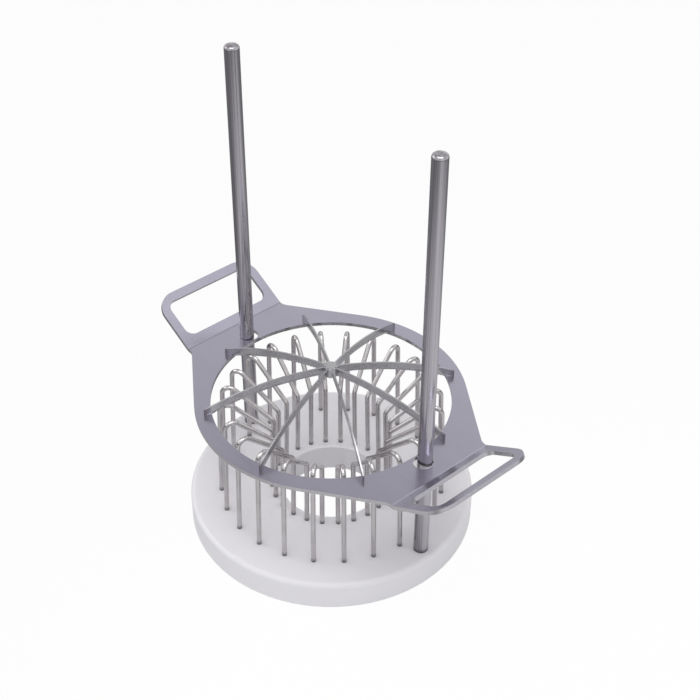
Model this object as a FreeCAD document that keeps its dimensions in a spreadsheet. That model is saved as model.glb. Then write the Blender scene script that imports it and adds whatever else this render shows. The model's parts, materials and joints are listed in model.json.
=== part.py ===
import FreeCAD, Part
import os
import re
import Sketcher

# Driving sizes in millimetres, degrees and counts
SIZES = {
    # White board that everything stands on
    "base_diameter": 300,
    "base_thickness": 32,
    "base_top_rounding": 5,
    "base_bottom_rounding": 2,
    "centre_hole_margin": 7.3,
    "centre_hole_rounding": 1.5,
    # Two guide rods, screwed to the board from below
    "rod_diameter": 15,
    "rod_inset": 16,
    "rod_top_height": 490,
    "rod_top_rounding": 3.5,
    "rod_seat_depth": 16,
    "rod_bore_depth": 16,
    "seat_clearance": 0.05,
    "screw_diameter": 8,
    "screw_length": 20,
    "screw_head_diameter": 13,
    "screw_head_height": 8,
    "hex_width": 6,
    "hex_depth": 4,
    "washer_diameter": 16,
    "washer_hole_diameter": 8.4,
    "washer_thickness": 1.6,
    "recess_depth": 10,
    "recess_clearance": 1,
    "screw_hole_clearance": 0.5,
    # Ring of bent wire supports
    "support_count": 24,
    "support_phase": 8.8,
    "wire_diameter": 5,
    "support_clearance": 2.7,
    "leg_spacing": 54,
    "support_lean": 1.9,
    "outer_corner_height": 157.5,
    "inner_corner_height": 108.5,
    "wire_bend_radius": 8,
    "leg_seat_depth": 18,
    # Sheet frame with two bent-up handles
    "plate_thickness": 4,
    "plate_top_height": 151.5,
    "guide_land": 1.5,
    "ring_width": 16.5,
    "guide_clearance": 2.5,
    "bearing_gap": 0.3,
    "handle_width": 126,
    "bend_offset": 18,
    "bend_radius": 4,
    "bend_flat": 0.2,
    "handle_angle": 29.3,
    "handle_length": 66,
    "handle_corner": 22,
    "neck_offset": 5.5,
    "neck_rounding": 11,
    "slot_start": 12,
    "slot_width": 44,
    "slot_length": 106,
    "slot_corner": 10,
    # Arched cutting blades and their hub
    "blade_count": 8,
    "blade_thickness": 1.5,
    "blade_arch_radius": 280,
    "blade_width": 9.5,
    "blade_lap": 8,
    "bevel_height": 3,
    "edge_land": 0.3,
    "scallop_pitch": 3,
    "scallop_radius": 1.6,
    "scallop_depth": 0.8,
    "hub_diameter": 14,
    "hub_slot_depth": 2,
    "hub_margin": 0.5,
    "hub_point": 5,
    "fit_clearance": 0.05,
}

# Sizes that follow from the driving ones, worked inwards from the board's rim
ROD_REACH = "(base_diameter / 2 - rod_inset)"
GUIDE_RADIUS = "(rod_diameter / 2 + guide_clearance)"
OPENING_RADIUS = f"({ROD_REACH} - {GUIDE_RADIUS} - guide_land)"
RING_RADIUS = f"({OPENING_RADIUS} + ring_width)"
LEG_RADIUS = f"({OPENING_RADIUS} - support_clearance - wire_diameter / 2)"
HOLE_RADIUS = f"({LEG_RADIUS} - leg_spacing - wire_diameter / 2 - centre_hole_margin)"
RECESS_DIAMETER = "washer_diameter + 2 * recess_clearance"
HEAD_LEVEL = "recess_depth - washer_thickness - screw_head_height"
SUPPORT_PITCH = "360 / support_count"
OUTER_LEG_HEIGHT = "(outer_corner_height - base_thickness) / cos(support_lean)"
INNER_LEG_HEIGHT = (
    "(inner_corner_height - base_thickness + leg_spacing * sin(support_lean)) / cos(support_lean)"
)
BEND_LINE = f"({RING_RADIUS} + bend_offset)"
HANDLE_START = f"({BEND_LINE} - bend_radius * tan(handle_angle / 2) - bend_flat)"
NECK = f"({BEND_LINE} - neck_offset)"
NECK_ANGLE = (
    f"(atan(handle_width / 2 / {NECK})"
    f" + acos({RING_RADIUS} / sqrt({NECK} ^ 2 + (handle_width / 2) ^ 2)))"
)
FRAME_TURN = f"-asin((guide_clearance - bearing_gap) / {ROD_REACH}) / 1 deg"
ARCH_LEVEL = f"plate_top_height - sqrt(blade_arch_radius ^ 2 - {OPENING_RADIUS} ^ 2)"
BLADE_TURN = "support_phase + 180 / support_count"
BLADE_START = "hub_diameter / 2 - hub_slot_depth + fit_clearance"
SCALLOP_TURN = "(scallop_pitch / blade_arch_radius * 180 / pi)"
FIRST_SCALLOP = "asin((hub_diameter / 2 + scallop_pitch) / blade_arch_radius) / 1 deg"
SCALLOP_COUNT = (
    f"floor((asin(({OPENING_RADIUS} - scallop_pitch) / blade_arch_radius) / 1 deg"
    f" - {FIRST_SCALLOP}) / {SCALLOP_TURN}) + 1"
)

os.makedirs("parts", exist_ok=True)
doc = FreeCAD.newDocument("wedging_press")
sheet = doc.addObject("Spreadsheet::Sheet", "Sizes")
for row, (name, size) in enumerate(SIZES.items(), start=1):
    sheet.set(f"A{row}", name)
    sheet.set(f"B{row}", str(size))
    sheet.setAlias(f"B{row}", name)
doc.recompute()
SIZE_NAMES = re.compile(r"\b(" + "|".join(SIZES) + r")\b")
pieces = []


def bound(formula):
    """The formula with each size read from the sheet."""
    return SIZE_NAMES.sub(r"Sizes.\1", formula)


def value(formula):
    """The formula's number."""
    result = sheet.evalExpression(bound(formula))
    return float(getattr(result, "Value", result))


def piece(name, x="0", y="0", z="0", turn="0", lean="0"):
    """A body for one physical piece, placed and turned by the sheet's sizes."""
    body = doc.addObject("PartDesign::Body", name)
    body.Label = name
    body.setExpression(
        "Placement",
        bound(
            f"placement(vector({x}; {y}; {z});"
            f" rotation(vector(0; 0; 1); {turn}) * rotation(vector(0; -1; 0); {lean}))"
        ),
    )
    pieces.append(body)
    return body


def origin_item(body, role):
    """One of the body's own origin planes or axes."""
    return next(item for item in body.Origin.OriginFeatures if item.Role == role)


def sketch_on(body, name, plane="XY_Plane", x=None, z=None, lean=None):
    """An empty sketch on an origin plane, moved or leaned by formulas."""
    sketch = body.newObject("Sketcher::SketchObject", name)
    sketch.AttachmentSupport = [(origin_item(body, plane), "")]
    sketch.MapMode = "FlatFace"
    if lean:
        tilt = FreeCAD.Rotation(FreeCAD.Vector(0, -1, 0), value(lean))
        sketch.AttachmentOffset = FreeCAD.Placement(FreeCAD.Vector(), tilt)
        sketch.setExpression("AttachmentOffset.Rotation.Angle", bound(lean))
    if x:
        sketch.setExpression("AttachmentOffset.Base.x", bound(x))
    if z:
        sketch.setExpression("AttachmentOffset.Base.z", bound(z))
    return sketch


def bind(sketch, constraint, formula):
    """Add a constraint whose size follows the formula."""
    number = sketch.addConstraint(constraint)
    sketch.setExpression(f"Constraints[{number}]", bound(formula))


def hold(sketch, geometry, point, x=None, y=None):
    """Hold a point of the sketch at formulas measured from the sketch's origin."""
    if x is not None:
        bind(sketch, Sketcher.Constraint("DistanceX", -1, 1, geometry, point, value(x)), x)
    if y is not None:
        bind(sketch, Sketcher.Constraint("DistanceY", -1, 1, geometry, point, value(y)), y)


def circle(sketch, diameter, x="0", y="0"):
    """A circle held at its centre and diameter."""
    centre = FreeCAD.Vector(value(x), value(y), 0)
    geometry = sketch.addGeometry(
        Part.Circle(centre, FreeCAD.Vector(0, 0, 1), value(diameter) / 2), False
    )
    hold(sketch, geometry, 3, x, y)
    bind(sketch, Sketcher.Constraint("Diameter", geometry, value(diameter)), diameter)


def outline(sketch, corners, closed=True):
    """Straight lines from corner to corner; a corner's third formula rounds it."""
    points = [FreeCAD.Vector(value(corner[0]), value(corner[1]), 0) for corner in corners]
    count = len(corners) if closed else len(corners) - 1
    lines = []
    for number in range(count):
        start = points[number]
        end = points[(number + 1) % len(points)]
        lines.append(sketch.addGeometry(Part.LineSegment(start, end), False))
    for number in range(count if closed else count - 1):
        following = lines[(number + 1) % count]
        sketch.addConstraint(Sketcher.Constraint("Coincident", lines[number], 2, following, 1))
    for number in range(count):
        hold(sketch, lines[number], 1, corners[number][0], corners[number][1])
    if not closed:
        hold(sketch, lines[-1], 2, corners[-1][0], corners[-1][1])
    for number, corner in enumerate(corners):
        if len(corner) == 3:
            rounding = value(corner[2])
            sketch.fillet(lines[number], 1, rounding, True, True)
            arc = next(
                index
                for index in reversed(range(sketch.GeometryCount))
                if isinstance(sketch.Geometry[index], Part.ArcOfCircle)
            )
            bind(sketch, Sketcher.Constraint("Radius", arc, rounding), corner[2])


def pad(body, name, sketch, length, reverse=False, symmetric=False):
    """Pad the sketch along its normal, against it or to both sides."""
    feature = body.newObject("PartDesign::Pad", name)
    feature.Profile = sketch
    feature.SideType = "Symmetric" if symmetric else "One side"
    feature.Reversed = reverse
    feature.setExpression("Length", bound(length))
    doc.recompute()
    return feature


def revolve(body, name, sketch):
    """Turn the sketch once round its upright axis."""
    feature = body.newObject("PartDesign::Revolution", name)
    feature.Profile = sketch
    feature.ReferenceAxis = (sketch, ["V_Axis"])
    feature.Angle = 360
    doc.recompute()
    return feature


def pocket(body, name, sketch, depth=None, reverse=False, symmetric=False):
    """Cut the sketch into the body, right through where no depth is given."""
    before = body.Shape.Volume
    feature = body.newObject("PartDesign::Pocket", name)
    feature.Profile = sketch
    feature.SideType = "Symmetric" if symmetric else "One side"
    feature.Reversed = reverse
    if depth:
        feature.Type = "Length"
        feature.setExpression("Length", bound(depth))
    else:
        feature.Type = "ThroughAll"
    doc.recompute()
    if feature.Shape.Volume >= before:
        raise RuntimeError(f"{body.Label}: {name} cuts nothing")
    return feature


def polar(body, name, originals, count, axis="Z_Axis", angle="360"):
    """Repeat features round one of the body's axes."""
    feature = body.newObject("PartDesign::PolarPattern", name)
    feature.Originals = originals
    feature.Axis = (origin_item(body, axis), [""])
    feature.setExpression("Angle", bound(angle))
    feature.setExpression("Occurrences", bound(count))
    body.Tip = feature
    doc.recompute()
    return feature


def edge_names(shape, points):
    """Names of the edges that lie nearest to the points."""
    names = []
    for point in points:
        mark = Part.Vertex(point)
        gaps = [edge.distToShape(mark)[0] for edge in shape.Edges]
        names.append(f"Edge{gaps.index(min(gaps)) + 1}")
    return sorted(set(names))


def fillet(body, name, base, points, radius):
    """Round the edges nearest to the points."""
    feature = body.newObject("PartDesign::Fillet", name)
    feature.Base = (base, edge_names(base.Shape, points))
    feature.setExpression("Radius", bound(radius))
    doc.recompute()
    return feature


# Board: a turned disc with a hole in the middle
# It's turned so that the first support's leg holes lie on its own X axis
base = piece("base_disc", turn="support_phase")
section = sketch_on(base, "disc_section", "XZ_Plane")
outline(
    section,
    [
        (HOLE_RADIUS, "0"),
        ("base_diameter / 2", "0"),
        ("base_diameter / 2", "base_thickness"),
        (HOLE_RADIUS, "base_thickness"),
    ],
)
disc = revolve(base, "disc", section)
rim = value("base_diameter / 2")
hole_edge = value(HOLE_RADIUS)
top = value("base_thickness")
disc = fillet(base, "top_rounding", disc, [FreeCAD.Vector(0, rim, top)], "base_top_rounding")
disc = fillet(base, "bottom_rounding", disc, [FreeCAD.Vector(0, rim, 0)], "base_bottom_rounding")
hole_edges = [FreeCAD.Vector(0, hole_edge, 0), FreeCAD.Vector(0, hole_edge, top)]
fillet(base, "hole_rounding", disc, hole_edges, "centre_hole_rounding")

# Rod seats from above, screw holes and screw recesses from below
rod_x = f"{ROD_REACH} * cos(support_phase)"
rod_y = f"{ROD_REACH} * sin(support_phase)"
rod_spots = [(rod_x, f"-{rod_y}"), (f"-{rod_x}", rod_y)]
seats = sketch_on(base, "rod_seats", z="base_thickness")
for x, y in rod_spots:
    circle(seats, "rod_diameter + 2 * seat_clearance", x, y)
pocket(base, "rod_seat_cut", seats, "rod_seat_depth")
screw_holes = sketch_on(base, "screw_holes")
for x, y in rod_spots:
    circle(screw_holes, "screw_diameter + 2 * screw_hole_clearance", x, y)
pocket(base, "screw_hole_cut", screw_holes, "base_thickness - rod_seat_depth", reverse=True)
recesses = sketch_on(base, "screw_recesses")
for x, y in rod_spots:
    circle(recesses, RECESS_DIAMETER, x, y)
pocket(base, "screw_recess_cut", recesses, "recess_depth", reverse=True)

# Leg holes of one support, leaned like its legs, repeated for all of them
leg_holes = sketch_on(
    base,
    "leg_holes",
    x=f"{LEG_RADIUS} + leg_seat_depth * sin(support_lean)",
    z="base_thickness - leg_seat_depth * cos(support_lean)",
    lean="support_lean",
)
circle(leg_holes, "wire_diameter + 2 * seat_clearance")
circle(leg_holes, "wire_diameter + 2 * seat_clearance", "-leg_spacing")
leg_cut = pocket(base, "leg_hole_cut", leg_holes, "leg_seat_depth + wire_diameter", reverse=True)
polar(base, "leg_hole_ring", [leg_cut], "support_count")

# Guide rods, each with its screw and washer
for side, sign in (("left", "-"), ("right", "")):
    x = f"{sign}{ROD_REACH}"
    rod = piece(f"guide_rod_{side}", x=x, z="base_thickness - rod_seat_depth")
    length = "rod_top_height - base_thickness + rod_seat_depth"
    section = sketch_on(rod, "rod_section", "XZ_Plane")
    outline(
        section,
        [
            ("screw_diameter / 2 + seat_clearance", "0"),
            ("rod_diameter / 2", "0"),
            ("rod_diameter / 2", length),
            ("0", length),
            ("0", "rod_bore_depth"),
            ("screw_diameter / 2 + seat_clearance", "rod_bore_depth"),
        ],
    )
    bar = revolve(rod, "bar", section)
    rod_end = FreeCAD.Vector(0, value("rod_diameter / 2"), value(length))
    fillet(rod, "top_rounding", bar, [rod_end], "rod_top_rounding")

    screw = piece(f"rod_screw_{side}", x=x, z=HEAD_LEVEL)
    section = sketch_on(screw, "screw_section", "XZ_Plane")
    outline(
        section,
        [
            ("0", "0"),
            ("screw_head_diameter / 2", "0"),
            ("screw_head_diameter / 2", "screw_head_height"),
            ("screw_diameter / 2", "screw_head_height"),
            ("screw_diameter / 2", "screw_head_height + screw_length"),
            ("0", "screw_head_height + screw_length"),
        ],
    )
    revolve(screw, "screw_body", section)
    hexagon = sketch_on(screw, "hexagon")
    hex_corners = []
    for corner in range(6):
        hex_corners.append(
            (
                f"hex_width / sqrt(3) * cos({60 * corner})",
                f"hex_width / sqrt(3) * sin({60 * corner})",
            )
        )
    outline(hexagon, hex_corners)
    pocket(screw, "hex_socket", hexagon, "hex_depth", reverse=True)

    washer = piece(f"rod_washer_{side}", x=x, z="recess_depth - washer_thickness")
    rings = sketch_on(washer, "washer_rings")
    circle(rings, "washer_diameter")
    circle(rings, "washer_hole_diameter")
    pad(washer, "washer_body", rings, "washer_thickness")

# Wire supports: up from the board, down inwards along the top, back into the board
for number in range(int(value("support_count"))):
    turn = f"(support_phase + {number} * {SUPPORT_PITCH})"
    support = piece(
        f"wire_support_{number + 1:02d}",
        x=f"{LEG_RADIUS} * cos({turn})",
        y=f"{LEG_RADIUS} * sin({turn})",
        z="base_thickness",
        turn=turn,
        lean="support_lean",
    )
    path = sketch_on(support, "wire_path", "XZ_Plane")
    outline(
        path,
        [
            ("0", "-leg_seat_depth"),
            ("0", OUTER_LEG_HEIGHT, "wire_bend_radius"),
            ("-leg_spacing", INNER_LEG_HEIGHT, "wire_bend_radius"),
            ("-leg_spacing", "-leg_seat_depth"),
        ],
        closed=False,
    )
    wire_section = sketch_on(support, "wire_section", z="-leg_seat_depth")
    circle(wire_section, "wire_diameter")
    doc.recompute()
    wire = support.newObject("PartDesign::AdditivePipe", "wire")
    wire.Profile = wire_section
    wire.Spine = (path, [f"Edge{index + 1}" for index in range(len(path.Shape.Edges))])

# Sheet frame: ring with the roots of both handles, then the guide holes and the opening
# Its guide holes have play, and it hangs turned until they bear on the rods
frame = piece("blade_frame", z="plate_top_height", turn=FRAME_TURN)
ring = sketch_on(frame, "ring")
circle(ring, f"2 * {RING_RADIUS}")
pad(frame, "ring_pad", ring, "plate_thickness", reverse=True)
roots = sketch_on(frame, "handle_roots")
root_corners = [
    (HANDLE_START, "-handle_width / 2"),
    (HANDLE_START, "handle_width / 2"),
    (NECK, "handle_width / 2", "neck_rounding"),
    (f"{RING_RADIUS} * cos{NECK_ANGLE}", f"{RING_RADIUS} * sin{NECK_ANGLE}"),
    (f"-{RING_RADIUS} * cos{NECK_ANGLE}", f"{RING_RADIUS} * sin{NECK_ANGLE}"),
    (f"-{NECK}", "handle_width / 2", "neck_rounding"),
    (f"-{HANDLE_START}", "handle_width / 2"),
    (f"-{HANDLE_START}", "-handle_width / 2"),
    (f"-{NECK}", "-handle_width / 2", "neck_rounding"),
    (f"-{RING_RADIUS} * cos{NECK_ANGLE}", f"-{RING_RADIUS} * sin{NECK_ANGLE}"),
    (f"{RING_RADIUS} * cos{NECK_ANGLE}", f"-{RING_RADIUS} * sin{NECK_ANGLE}"),
    (NECK, "-handle_width / 2", "neck_rounding"),
]
outline(roots, root_corners)
pad(frame, "root_pad", roots, "plate_thickness", reverse=True)
guides = sketch_on(frame, "guide_holes")
for x in (ROD_REACH, f"-{ROD_REACH}"):
    circle(guides, f"2 * {GUIDE_RADIUS}", x)
pocket(frame, "guide_hole_cut", guides)
opening = sketch_on(frame, "blade_opening")
circle(opening, f"2 * {OPENING_RADIUS}")
pocket(frame, "blade_opening_cut", opening)

# Bent handles with finger slots, which carry the frame's sheet on from its roots
outer_bend = f"{BEND_LINE} + plate_thickness * tan(handle_angle / 2)"
tip_x = f"{BEND_LINE} + handle_length * cos(handle_angle)"
tip_z = "handle_length * sin(handle_angle)"
for side, way in (("right", "0"), ("left", "180")):
    handle = piece(f"handle_{side}", z="plate_top_height", turn=f"{way} + ({FRAME_TURN})")
    side_view = sketch_on(handle, "side_view", "XZ_Plane")
    outline(
        side_view,
        [
            (HANDLE_START, "0"),
            (BEND_LINE, "0", "bend_radius"),
            (tip_x, tip_z),
            (
                f"{tip_x} + plate_thickness * sin(handle_angle)",
                f"{tip_z} - plate_thickness * cos(handle_angle)",
            ),
            (outer_bend, "-plate_thickness", "bend_radius + plate_thickness"),
            (HANDLE_START, "-plate_thickness"),
        ],
    )
    pad(handle, "bent_sheet", side_view, "handle_width", symmetric=True)
    slot = sketch_on(handle, "finger_slot", x=BEND_LINE, lean="handle_angle")
    slot_corners = []
    for x, y in (
        ("slot_start", "-slot_length / 2"),
        ("slot_start + slot_width", "-slot_length / 2"),
        ("slot_start + slot_width", "slot_length / 2"),
        ("slot_start", "slot_length / 2"),
    ):
        slot_corners.append((x, y, "slot_corner"))
    outline(slot, slot_corners)
    slot_cut = pocket(handle, "finger_slot_cut", slot)
    corner_x = value(f"{tip_x} + plate_thickness / 2 * sin(handle_angle)")
    corner_y = value("handle_width / 2")
    corner_z = value(f"{tip_z} - plate_thickness / 2 * cos(handle_angle)")
    corners = [FreeCAD.Vector(corner_x, y, corner_z) for y in (-corner_y, corner_y)]
    fillet(handle, "handle_corners", slot_cut, corners, "handle_corner")

# Arched blades, midway between supports, each with the arch's centre as its own origin
for number in range(int(value("blade_count"))):
    turn = f"({BLADE_TURN} + {number} * 360 / blade_count)"
    blade = piece(f"blade_{number + 1}", z=ARCH_LEVEL, turn=turn)
    band = sketch_on(blade, "band", "XZ_Plane")
    upright = FreeCAD.Vector(0, 0, 1)
    arch = value("blade_arch_radius")
    start = value(BLADE_START)
    inside = value(OPENING_RADIUS)
    outside = value(f"{OPENING_RADIUS} + blade_lap")
    arcs = []
    for radius, reach in (
        ("blade_arch_radius", inside),
        ("blade_arch_radius + blade_width", outside),
    ):
        size = value(radius)
        whole = Part.Circle(FreeCAD.Vector(), upright, size)
        first = FreeCAD.Vector(reach, (size**2 - reach**2) ** 0.5, 0)
        last = FreeCAD.Vector(start, (size**2 - start**2) ** 0.5, 0)
        arc = Part.ArcOfCircle(whole, whole.parameter(first), whole.parameter(last))
        geometry = band.addGeometry(arc, False)
        band.addConstraint(Sketcher.Constraint("Coincident", geometry, 3, -1, 1))
        bind(band, Sketcher.Constraint("Radius", geometry, size), radius)
        arcs.append((geometry, first, last))
    lower, lower_first, lower_last = arcs[0]
    upper, upper_first, upper_last = arcs[1]
    seat_end = FreeCAD.Vector(outside, lower_first.y, 0)
    seat = band.addGeometry(Part.LineSegment(lower_first, seat_end), False)
    end = band.addGeometry(Part.LineSegment(seat_end, upper_first), False)
    inner = band.addGeometry(Part.LineSegment(upper_last, lower_last), False)
    for pair in ((seat, 1, lower, 1), (seat, 2, end, 1), (end, 2, upper, 1)):
        band.addConstraint(Sketcher.Constraint("Coincident", *pair))
    for pair in ((inner, 1, upper, 2), (inner, 2, lower, 2)):
        band.addConstraint(Sketcher.Constraint("Coincident", *pair))
    band.addConstraint(Sketcher.Constraint("Horizontal", seat))
    band.addConstraint(Sketcher.Constraint("Vertical", end))
    band.addConstraint(Sketcher.Constraint("Vertical", inner))
    hold(band, seat, 1, OPENING_RADIUS)
    hold(band, seat, 2, f"{OPENING_RADIUS} + blade_lap")
    hold(band, inner, 2, BLADE_START)
    strip = pad(blade, "strip", band, "blade_thickness", symmetric=True)

    # Cutting edge: bevelled from both faces, then finely scalloped
    half = value("blade_thickness / 2")
    middle = (lower_first + lower_last) * 0.5
    middle = middle * (arch / middle.Length)
    edge_marks = [FreeCAD.Vector(middle.x, y, middle.y) for y in (-half, half)]
    bevel = blade.newObject("PartDesign::Chamfer", "bevel")
    bevel.Base = (strip, edge_names(strip.Shape, edge_marks))
    bevel.ChamferType = "Two distances"
    bevel.FlipDirection = True
    bevel.setExpression("Size", bound("bevel_height"))
    bevel.setExpression("Size2", bound("(blade_thickness - edge_land) / 2"))
    doc.recompute()
    scallop = sketch_on(blade, "scallop", "XZ_Plane")
    scallop_reach = "(blade_arch_radius - scallop_radius + scallop_depth)"
    circle(
        scallop,
        "2 * scallop_radius",
        f"{scallop_reach} * sin({FIRST_SCALLOP})",
        f"{scallop_reach} * cos({FIRST_SCALLOP})",
    )
    notch = pocket(blade, "notch", scallop, "2 * blade_thickness", symmetric=True)
    spread = f"({SCALLOP_COUNT} - 1) * {SCALLOP_TURN}"
    polar(blade, "notches", [notch], SCALLOP_COUNT, "Y_Axis", spread)

# Hub that holds the inner blade ends in slots, with a short point beneath
hub = piece("blade_hub", z=ARCH_LEVEL, turn=BLADE_TURN)
section = sketch_on(hub, "hub_section", "XZ_Plane")
outline(
    section,
    [
        ("0", "blade_arch_radius - hub_margin - hub_point"),
        ("hub_diameter / 2", "blade_arch_radius - hub_margin"),
        ("hub_diameter / 2", "blade_arch_radius + blade_width + hub_margin"),
        ("0", "blade_arch_radius + blade_width + hub_margin"),
    ],
)
revolve(hub, "hub_body", section)
hub_slot = sketch_on(hub, "hub_slot")
slot_half = "(blade_thickness / 2 + fit_clearance)"
slot_root = "hub_diameter / 2 - hub_slot_depth"
outline(
    hub_slot,
    [
        (slot_root, f"-{slot_half}"),
        ("hub_diameter", f"-{slot_half}"),
        ("hub_diameter", slot_half),
        (slot_root, slot_half),
    ],
)
hub_cut = pocket(hub, "hub_slot_cut", hub_slot, reverse=True)
polar(hub, "hub_slots", [hub_cut], "blade_count")

doc.recompute()
for item in doc.Objects:
    if "Invalid" in item.State or "Error" in item.State:
        raise RuntimeError(f"{item.Label} of {item.FullName} failed: {item.State}")
    if item.TypeId == "Sketcher::SketchObject" and not item.FullyConstrained:
        raise RuntimeError(f"{item.FullName} isn't fully constrained")
for body in pieces:
    if body.Shape.isNull() or not body.Shape.isValid() or len(body.Shape.Solids) != 1:
        raise RuntimeError(f"{body.Label} has no sound single solid")
for body in pieces:
    body.Shape.exportStep(f"parts/{body.Label}.step")
    print(f"{body.Label}: {body.Shape.Volume:.1f} cubic mm")
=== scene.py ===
import json
import math

import bmesh
import bpy
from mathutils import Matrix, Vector

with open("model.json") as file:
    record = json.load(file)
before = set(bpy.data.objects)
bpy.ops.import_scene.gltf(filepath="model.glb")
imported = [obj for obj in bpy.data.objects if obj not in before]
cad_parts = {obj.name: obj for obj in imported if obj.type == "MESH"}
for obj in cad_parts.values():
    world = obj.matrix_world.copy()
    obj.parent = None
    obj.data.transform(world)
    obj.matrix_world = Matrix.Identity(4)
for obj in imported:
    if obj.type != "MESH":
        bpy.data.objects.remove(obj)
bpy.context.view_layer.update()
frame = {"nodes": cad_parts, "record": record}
nodes = frame["nodes"]
scene = bpy.context.scene

# Colours, in pairs that a pattern goes between
BOARD_WHITES = ((0.85, 0.835, 0.87), (0.89, 0.875, 0.905))
BAR_STEELS = ((0.19, 0.18, 0.195), (0.55, 0.53, 0.57))
WIRE_STEELS = ((0.42, 0.40, 0.41), (0.66, 0.64, 0.65))
SHEET_STEELS = ((0.36, 0.346, 0.42), (0.47, 0.452, 0.54))
CUT_EDGE_STEELS = ((0.36, 0.35, 0.37), (0.58, 0.57, 0.59))
BLADE_STEELS = ((0.36, 0.355, 0.375), (0.54, 0.535, 0.555))
FASTENER_STEELS = ((0.38, 0.38, 0.39), (0.56, 0.56, 0.57))
# Painted shade: a dark colour blended in at the feet of the bars and wires, where they stand in
# the board
FOOT_SHADE_COLOUR = (0.07, 0.065, 0.065)
# Dark colour blended in towards the outer end of each blade
BLADE_END_DARK = (0.17, 0.145, 0.15)
# Floor: pale for the painted pool of light, darker grey for the painted shade further out
FLOOR_POOL_LIGHT_AND_SHADE = ((0.84, 0.84, 0.85), (0.30, 0.30, 0.31))

# Places and depths on the object, in metres
# Heights between which the painted shade at the feet of the bars and wires fades out
FOOT_SHADE_FULL_HEIGHT = 0.0325
FOOT_SHADE_END_HEIGHT = 0.0375
# Radii between which the blades turn darker towards their outer ends
BLADE_END_DARK_START_RADIUS = 0.124
BLADE_END_DARK_FULL_RADIUS = 0.131
FINE_GRAIN_DEPTH = 0.0002
PEBBLE_DEPTH = 0.0004
SCUFF_DEPTH = 0.0006
BOARD_GLOW_DEPTH = 0.004

# Floor, in metres, and how much of the camera's view of it is pure white
FLOOR_RADIUS = 4.0
FLOOR_DROP = 0.0002
# Painted pool of light on the floor beside the right handle, fading into painted shade further out
PAINTED_POOL_CENTRE = (0.44, -0.10, 0.0)
PAINTED_POOL_RADIUS = 0.35
PAINTED_POOL_FADE_RADIUS = 0.85
FLOOR_WHITE_SHARE = 0.965

# Sky: strengths, and the darker patch as a direction with the cosines of its rims
MATT_FILL = 0.67
SKY_WHITE = 1.0
PATCH_STRENGTH = 0.5
PATCH_DIRECTION = (-0.407, 0.235, 0.883)
PATCH_OUTER_COSINE = 0.89
PATCH_INNER_COSINE = 0.97

# Camera: metres, degrees and millimetres
CAMERA_PLACE = (0.7952, -0.71607, 1.0535)
CAMERA_TURN = (51.743, -0.2032, 47.1429)
FOCAL_LENGTH = 70.767
SENSOR_WIDTH = 36.0
NEAREST_VIEW = 0.05
FURTHEST_VIEW = 50.0

# Lamps point at the middle of the supports
LAMP_AIM = (0.0, 0.0, 0.1)


class Nodes:
    """Short calls that add and join the nodes of one tree."""

    def __init__(self, tree):
        self.tree = tree

    def add(self, kind, **settings):
        node = self.tree.nodes.new(kind)
        for name, value in settings.items():
            setattr(node, name, value)
        return node

    def join(self, output, socket):
        self.tree.links.new(output, socket)

    def combine(self, operation, first, second):
        """One Math node on two values, each a number or an output."""
        step = self.add("ShaderNodeMath", operation=operation)
        for socket, value in zip(step.inputs, (first, second)):
            if isinstance(value, (int, float)):
                socket.default_value = value
            else:
                self.join(value, socket)
        return step.outputs["Value"]

    def spread(self, value, low, high, start=0.0, end=1.0, curve="LINEAR"):
        """Turn a value between start and end into one between low and high."""
        step = self.add("ShaderNodeMapRange", interpolation_type=curve)
        self.join(value, step.inputs["Value"])
        step.inputs["From Min"].default_value = start
        step.inputs["From Max"].default_value = end
        step.inputs["To Min"].default_value = low
        step.inputs["To Max"].default_value = high
        return step.outputs["Result"]


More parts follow.
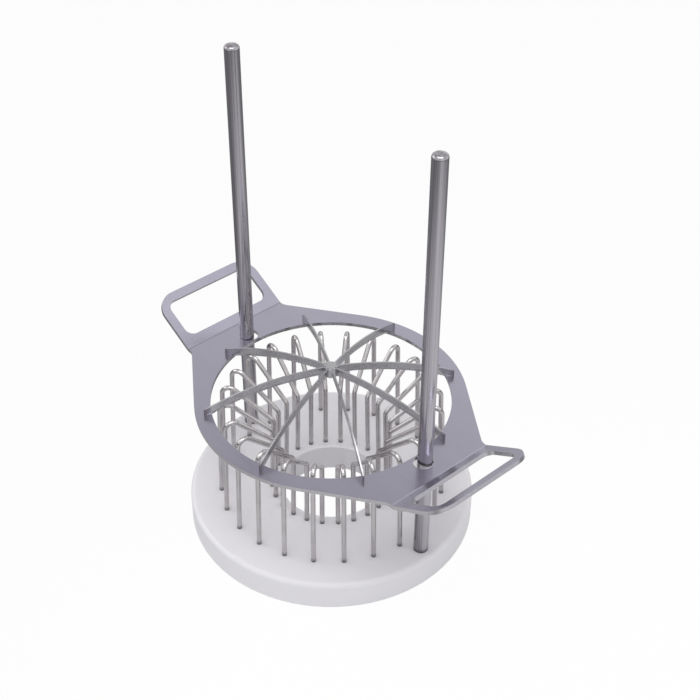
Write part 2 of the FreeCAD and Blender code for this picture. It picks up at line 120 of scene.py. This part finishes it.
class Finish(Nodes):
    """One surface finish: a Principled shader and the patterns that feed it."""

    def __init__(self, name, metallic):
        self.material = bpy.data.materials.new(name)
        self.material.use_nodes = True
        super().__init__(self.material.node_tree)
        self.shader = self.tree.nodes["Principled BSDF"]
        self.set("Metallic", metallic)
        coordinates = self.add("ShaderNodeTexCoord")
        self.place = coordinates.outputs["Object"]
        self.facing = coordinates.outputs["Normal"]

    def set(self, socket, value):
        """A value that is the same all over the surface."""
        self.shader.inputs[socket].default_value = value

    def colour(self, output):
        self.join(output, self.shader.inputs["Base Color"])

    def roughness(self, output):
        self.join(output, self.shader.inputs["Roughness"])

    def normal(self, output):
        self.join(output, self.shader.inputs["Normal"])

    def stretched(self, scale):
        """Object coordinates with their own scale along each axis."""
        mapping = self.add("ShaderNodeMapping")
        mapping.inputs["Scale"].default_value = scale
        self.join(self.place, mapping.inputs["Vector"])
        return mapping.outputs["Vector"]

    def upward(self, vector):
        """The Z part of a place or a facing."""
        split = self.add("ShaderNodeSeparateXYZ")
        self.join(vector, split.inputs["Vector"])
        return split.outputs["Z"]

    def distance(self, vector, point=(0.0, 0.0, 0.0)):
        """How far a place is from a point."""
        step = self.add("ShaderNodeVectorMath", operation="DISTANCE")
        self.join(vector, step.inputs[0])
        step.inputs[1].default_value = point
        return step.outputs["Value"]

    def noise(self, scale, detail=2.0, roughness=0.5, distortion=0.0):
        """Noise with one scale, or with one for each axis, which makes a grain."""
        texture = self.add("ShaderNodeTexNoise")
        if isinstance(scale, tuple):
            self.join(self.stretched(scale), texture.inputs["Vector"])
            texture.inputs["Scale"].default_value = 1.0
        else:
            self.join(self.place, texture.inputs["Vector"])
            texture.inputs["Scale"].default_value = scale
        texture.inputs["Detail"].default_value = detail
        texture.inputs["Roughness"].default_value = roughness
        texture.inputs["Distortion"].default_value = distortion
        return texture.outputs["Fac"]

    def weighted(self, *patterns):
        """Patterns added up, each times its own share."""
        total = 0.0
        for pattern, share in patterns:
            total = self.combine("ADD", total, self.combine("MULTIPLY", pattern, share))
        return total

    def blend(self, amount, first, second):
        """Mix two colours, each a tuple or an output."""
        step = self.add("ShaderNodeMix", data_type="RGBA")
        self.join(amount, step.inputs["Factor"])
        for socket, colour in ((step.inputs["A"], first), (step.inputs["B"], second)):
            if isinstance(colour, tuple):
                socket.default_value = (*colour, 1.0)
            else:
                self.join(colour, socket)
        return step.outputs["Result"]

    def bump(self, height, strength, depth=FINE_GRAIN_DEPTH, below=None):
        """A bump, laid over another one where that is given."""
        step = self.add("ShaderNodeBump")
        step.inputs["Strength"].default_value = strength
        step.inputs["Distance"].default_value = depth
        self.join(height, step.inputs["Height"])
        if below is not None:
            self.join(below, step.inputs["Normal"])
        return step.outputs["Normal"]


def painted_foot_shade(finish, colour):
    """The colour with a painted dark ring of shade where a bar or wire stands in the board."""
    height = finish.upward(finish.place)
    # Painted shade: strongest below the first height, gone above the second
    foot_shade = finish.spread(height, low=0.8, high=0.0, start=FOOT_SHADE_FULL_HEIGHT, end=FOOT_SHADE_END_HEIGHT)
    return finish.blend(foot_shade, colour, FOOT_SHADE_COLOUR)


def board_plastic():
    """White cutting-board plastic: faint clouding, fine pebble and light scuffs."""
    finish = Finish("board_plastic", metallic=0.0)
    cloud = finish.noise(scale=9.0, detail=3.0)
    scuff = finish.noise(scale=(14.0, 90.0, 40.0), detail=4.0, roughness=0.6, distortion=0.4)
    pebble = finish.noise(scale=900.0)
    finish.colour(finish.blend(cloud, *BOARD_WHITES))
    finish.roughness(finish.spread(scuff, low=0.40, high=0.56, start=0.35, end=0.7))
    pebbled = finish.bump(pebble, strength=0.10, depth=PEBBLE_DEPTH)
    finish.normal(finish.bump(scuff, strength=0.05, depth=SCUFF_DEPTH, below=pebbled))
    finish.set("Subsurface Weight", 0.15)
    finish.set("Subsurface Radius", (BOARD_GLOW_DEPTH,) * 3)
    finish.set("Subsurface Scale", 1.0)
    return finish.material


def drawn_bar():
    """Guide bar: fine lines drawn along its length, with broader dark streaks."""
    finish = Finish("drawn_bar", metallic=1.0)
    line = finish.noise(scale=(900.0, 900.0, 3.0), detail=3.0, roughness=0.6)
    broad = finish.noise(scale=(160.0, 160.0, 1.2))
    streak = finish.weighted((line, 0.4), (broad, 0.6))
    streak = finish.spread(streak, low=0.0, high=1.0, start=0.36, end=0.66)
    # Painted shade at the foot of the bar
    finish.colour(painted_foot_shade(finish, finish.blend(streak, *BAR_STEELS)))
    finish.roughness(finish.spread(line, low=0.13, high=0.24))
    finish.normal(finish.bump(line, strength=0.12))
    return finish.material


def polished_wire():
    """Bright wire with faint drawing lines."""
    finish = Finish("polished_wire", metallic=1.0)
    line = finish.noise(scale=(1200.0, 1200.0, 12.0))
    patch = finish.noise(scale=60.0, detail=3.0)
    # Painted shade at the foot of each wire leg
    finish.colour(painted_foot_shade(finish, finish.blend(patch, *WIRE_STEELS)))
    finish.roughness(finish.spread(line, low=0.08, high=0.15))
    finish.normal(finish.bump(line, strength=0.06))
    return finish.material


def satin_sheet():
    """Satin sheet: one-way grain on its faces, paler cut edges with fine cutting lines."""
    finish = Finish("satin_sheet", metallic=1.0)
    level = finish.combine("ABSOLUTE", finish.upward(finish.facing), 0.0)
    face_share = finish.spread(level, low=0.0, high=1.0, start=0.35, end=0.75)
    grain = finish.noise(scale=(6.0, 1500.0, 500.0), detail=4.0, roughness=0.65)
    broad = finish.noise(scale=(2.0, 60.0, 30.0), detail=3.0)
    rubbed = finish.noise(scale=22.0, detail=4.0, roughness=0.6)
    cuts = finish.noise(scale=(700.0, 700.0, 40.0))
    tone = finish.weighted((grain, 0.45), (broad, 0.3), (rubbed, 0.25))
    faces = finish.blend(tone, *SHEET_STEELS)
    edges = finish.blend(cuts, *CUT_EDGE_STEELS)
    finish.colour(finish.blend(face_share, edges, faces))
    finish.roughness(finish.spread(grain, low=0.17, high=0.29))
    grained = finish.bump(grain, strength=0.05)
    finish.normal(finish.bump(cuts, strength=0.05, below=grained))
    return finish.material


def ground_blade():
    """Blade steel, ground across its width, darker towards its outer end."""
    finish = Finish("ground_blade", metallic=1.0)
    grind = finish.noise(scale=(260.0, 260.0, 900.0), detail=3.0, roughness=0.6)
    patch = finish.noise(scale=45.0, detail=3.0)
    reach = finish.distance(finish.stretched((1.0, 1.0, 0.0)))
    # Darker towards the blade's outer end
    end_dark = finish.spread(reach, low=0.0, high=0.8, start=BLADE_END_DARK_START_RADIUS, end=BLADE_END_DARK_FULL_RADIUS)
    finish.colour(finish.blend(end_dark, finish.blend(patch, *BLADE_STEELS), BLADE_END_DARK))
    finish.roughness(finish.spread(grind, low=0.18, high=0.34))
    finish.normal(finish.bump(grind, strength=0.08))
    return finish.material


def plain_fastener():
    """Plain turned steel of the screws and washers."""
    finish = Finish("plain_fastener", metallic=1.0)
    turned = finish.noise(scale=(500.0, 500.0, 2500.0))
    finish.colour(finish.blend(turned, *FASTENER_STEELS))
    finish.roughness(finish.spread(turned, low=0.28, high=0.42))
    finish.normal(finish.bump(turned, strength=0.08))
    return finish.material


def pale_floor():
    """Floor that the camera sees nearly white, with a painted pool of light beside the right
    handle and painted shade further out, seen in reflections and bounced light.
    """
    disc = bmesh.new()
    bmesh.ops.create_circle(disc, cap_ends=True, segments=96, radius=FLOOR_RADIUS)
    mesh = bpy.data.meshes.new("floor")
    disc.to_mesh(mesh)
    disc.free()
    floor = bpy.data.objects.new("floor", mesh)
    floor.location.z = -FLOOR_DROP
    scene.collection.objects.link(floor)
    finish = Finish("pale_floor", metallic=0.0)
    finish.set("Roughness", 0.9)
    # Painted pool of light near the right handle and painted shade further out; the camera itself
    # sees the floor nearly white
    far = finish.distance(finish.place, PAINTED_POOL_CENTRE)
    far = finish.spread(far, low=0.0, high=1.0, start=PAINTED_POOL_RADIUS, end=PAINTED_POOL_FADE_RADIUS)
    finish.colour(finish.blend(far, *FLOOR_POOL_LIGHT_AND_SHADE))
    rays = finish.add("ShaderNodeLightPath")
    white = finish.add("ShaderNodeEmission")
    white.inputs["Strength"].default_value = 1.0
    mix = finish.add("ShaderNodeMixShader")
    seen = finish.combine("MULTIPLY", rays.outputs["Is Camera Ray"], FLOOR_WHITE_SHARE)
    finish.join(seen, mix.inputs["Fac"])
    finish.join(finish.shader.outputs["BSDF"], mix.inputs[1])
    finish.join(white.outputs["Emission"], mix.inputs[2])
    finish.join(mix.outputs["Shader"], finish.tree.nodes["Material Output"].inputs["Surface"])
    mesh.materials.append(finish.material)


def studio_world():
    """White all round with one darker patch overhead, and a grey fill on what is matt."""
    world = bpy.data.worlds.new("studio")
    scene.world = world
    world.use_nodes = True
    sky = Nodes(world.node_tree)
    direction = sky.add("ShaderNodeTexCoord")
    nearness = sky.add("ShaderNodeVectorMath", operation="DOT_PRODUCT")
    sky.join(direction.outputs["Generated"], nearness.inputs[0])
    nearness.inputs[1].default_value = PATCH_DIRECTION
    shown_strength = sky.spread(
        nearness.outputs["Value"],
        low=SKY_WHITE,
        high=PATCH_STRENGTH,
        start=PATCH_OUTER_COSINE,
        end=PATCH_INNER_COSINE,
        curve="SMOOTHSTEP",
    )
    rays = sky.add("ShaderNodeLightPath").outputs
    shown = sky.combine("MAXIMUM", rays["Is Camera Ray"], rays["Is Transmission Ray"])
    shown = sky.combine("MAXIMUM", shown, rays["Is Glossy Ray"])
    strength = sky.add("ShaderNodeMix", data_type="FLOAT")
    sky.join(shown, strength.inputs["Factor"])
    strength.inputs["A"].default_value = MATT_FILL
    sky.join(shown_strength, strength.inputs["B"])
    background = sky.tree.nodes["Background"]
    background.inputs["Color"].default_value = (1.0, 1.0, 1.0, 1.0)
    sky.join(strength.outputs["Result"], background.inputs["Strength"])


def photograph_camera():
    """The camera at the photograph's place and angle."""
    lens = bpy.data.cameras.new("camera")
    lens.sensor_width = SENSOR_WIDTH
    lens.lens = FOCAL_LENGTH
    lens.clip_start = NEAREST_VIEW
    lens.clip_end = FURTHEST_VIEW
    holder = bpy.data.objects.new("camera", lens)
    scene.collection.objects.link(holder)
    holder.location = CAMERA_PLACE
    holder.rotation_euler = [math.radians(turn) for turn in CAMERA_TURN]
    scene.camera = holder


def soft_light(name, place, size, power):
    """A square studio light turned towards the object."""
    lamp = bpy.data.lights.new(name, "AREA")
    lamp.shape = "SQUARE"
    lamp.size = size
    lamp.energy = power
    holder = bpy.data.objects.new(name, lamp)
    scene.collection.objects.link(holder)
    holder.location = place
    holder.rotation_mode = "QUATERNION"
    holder.rotation_quaternion = (Vector(place) - Vector(LAMP_AIM)).to_track_quat("Z", "Y")


finishes = {
    "board": board_plastic(),
    "rod_steel": drawn_bar(),
    "wire_steel": polished_wire(),
    "sheet_steel": satin_sheet(),
    "blade_steel": ground_blade(),
    "fastener_steel": plain_fastener(),
}
for part in frame["record"]["subparts"]:
    mesh = nodes[part["node"]].data
    mesh.materials.clear()
    mesh.materials.append(finishes[part["material_slot"]])

scene.view_settings.view_transform = "Standard"
pale_floor()
studio_world()
photograph_camera()
soft_light("top_light", place=(0.3, -0.3, 2.2), size=1.5, power=16.0)
soft_light("left_light", place=(-1.6, -0.9, 1.2), size=1.0, power=5.0)
